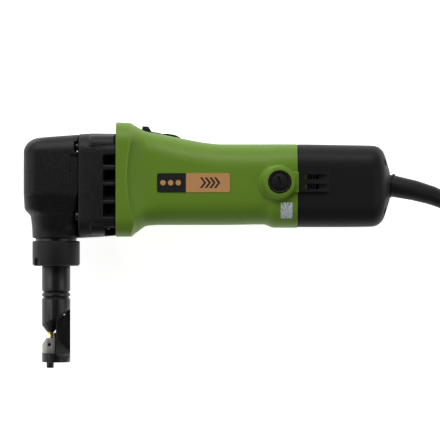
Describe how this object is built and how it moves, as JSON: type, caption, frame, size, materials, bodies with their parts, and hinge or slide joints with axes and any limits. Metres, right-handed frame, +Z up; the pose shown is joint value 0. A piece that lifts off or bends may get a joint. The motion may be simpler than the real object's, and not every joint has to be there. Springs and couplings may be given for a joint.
{
  "type": "sheet metal nibbler",
  "caption": "Corded in-line nibbler lying on its side: green motor handle, black gear head and rear cover, swivelling punch and die tube at right angles, slide switch, bend guard, coiled lead.",
  "frame": {"origin": "centre of the footprint of the tool lying on its left side, on the surface it lies on, without the cord", "axes": "+X from the cutting head to the cord along the motor axis; +Y from the die up to the switch side of the handle; +Z up from the surface, through the tool's right side with the label"},
  "size_m": [0.4999, 0.1908, 0.073],
  "materials": {
    "green_housing": "moulded green plastic, fine grain",
    "black_cover": "smooth moulded black plastic",
    "black_casting": "black textured casting",
    "dark_steel": "blackened steel",
    "bright_steel": "ground steel",
    "gold_coating": "thin gold-coloured hard coating",
    "copper": "enamelled copper wire",
    "laminations": "stacked laminations",
    "bronze": "sintered bronze",
    "carbon": "pressed carbon",
    "rubber_black": "soft black rubber",
    "inner_plastic": "dark glass-filled plastic",
    "label_print": "two-tone printed label",
    "foil": "iridescent foil",
    "plated": "nickel plated"
  },
  "bodies": {
    "tool_body": {"motor_housing": "green_housing", "rear_cover": "black_cover", "gear_case": "black_casting", "gear_head": "black_casting", "front_bearing": "bright_steel", "rear_bearing": "bright_steel", "bearing_sleeve": "rubber_black", "field_core": "laminations", "field_coil_front": "copper", "field_coil_back": "copper", "air_baffle": "inner_plastic", "crank_front_bush": "bronze", "crank_rear_bush": "bronze", "ram_bush": "bronze", "neck_washer": "bright_steel", "brush_holders": "bronze", "brushes": "carbon", "brush_springs": "bright_steel", "brush_cap_left": "black_cover", "brush_cap_right": "black_cover", "switch_body": "inner_plastic", "capacitor": "label_print", "terminal_block": "inner_plastic", "head_screws": "bright_steel", "case_screws": "bright_steel", "rear_cover_screws": "dark_steel", "label_plate": "label_print", "foil_sticker": "foil", "power_cord": "rubber_black", "cord_guard": "rubber_black", "plug_lead": "rubber_black", "cord_coil": "rubber_black", "cord_tie": "rubber_black", "cord_clamp": "inner_plastic", "cord_clamp_screws": "bright_steel", "plug_body": "rubber_black", "plug_pins": "plated"},
    "rotor": {"armature_shaft": "bright_steel", "motor_pinion": "bright_steel", "armature_core": "laminations", "armature_windings": "copper", "commutator": "copper", "fan": "inner_plastic"},
    "crank": {"crank_shaft": "bright_steel", "crank_gear": "dark_steel", "eccentric_roller": "bright_steel"},
    "ram_slide": {"ram": "bright_steel"},
    "punch_body": {"punch": "gold_coating"},
    "die_head": {"die_holder": "dark_steel", "die": "bright_steel", "die_screw": "dark_steel"},
    "collar": {"collar_nut": "dark_steel"},
    "switch_slider": {"switch_knob": "black_cover"},
    "switch_link": {"switch_rod": "inner_plastic"}
  },
  "joints": [
    {"name": "rotor_spin", "type": "hinge", "parent": "tool_body", "child": "rotor", "pos_m": [0, 0.0476, 0.0365], "axis": [1, 0, 0], "continuous": true},
    {"name": "crank_spin", "type": "hinge", "parent": "tool_body", "child": "crank", "pos_m": [-0.09, 0.06598, 0.0365], "axis": [1, 0, 0], "continuous": true},
    {"name": "punch_stroke", "type": "slide", "parent": "tool_body", "child": "ram_slide", "axis": [0, -1, 0], "range_m": [-0.0025, 0.0025]},
    {"name": "die_swivel", "type": "hinge", "parent": "tool_body", "child": "die_head", "pos_m": [-0.117, -0.03, 0.0365], "axis": [0, 1, 0], "continuous": true},
    {"name": "punch_turn", "type": "hinge", "parent": "ram_slide", "child": "punch_body", "pos_m": [-0.117, -0.03, 0.0365], "axis": [0, 1, 0], "continuous": true},
    {"name": "collar_turn", "type": "hinge", "parent": "tool_body", "child": "collar", "pos_m": [-0.117, -0.006, 0.0365], "axis": [0, 1, 0], "range_deg": [0, 90]},
    {"name": "switch_slide", "type": "slide", "parent": "tool_body", "child": "switch_slider", "axis": [-0.9806, 0.1961, 0], "range_m": [0, 0.006]},
    {"name": "switch_link_slide", "type": "slide", "parent": "tool_body", "child": "switch_link", "axis": [-1, 0, 0], "range_m": [0, 0.006]}
  ],
  "couplings": [
    {"joint": "crank_spin", "follows": "rotor_spin", "ratio": -0.225},
    {"joint": "punch_turn", "follows": "die_swivel", "ratio": 1},
    {"joint": "switch_link_slide", "follows": "switch_slide", "ratio": 0.98058}
  ]
}
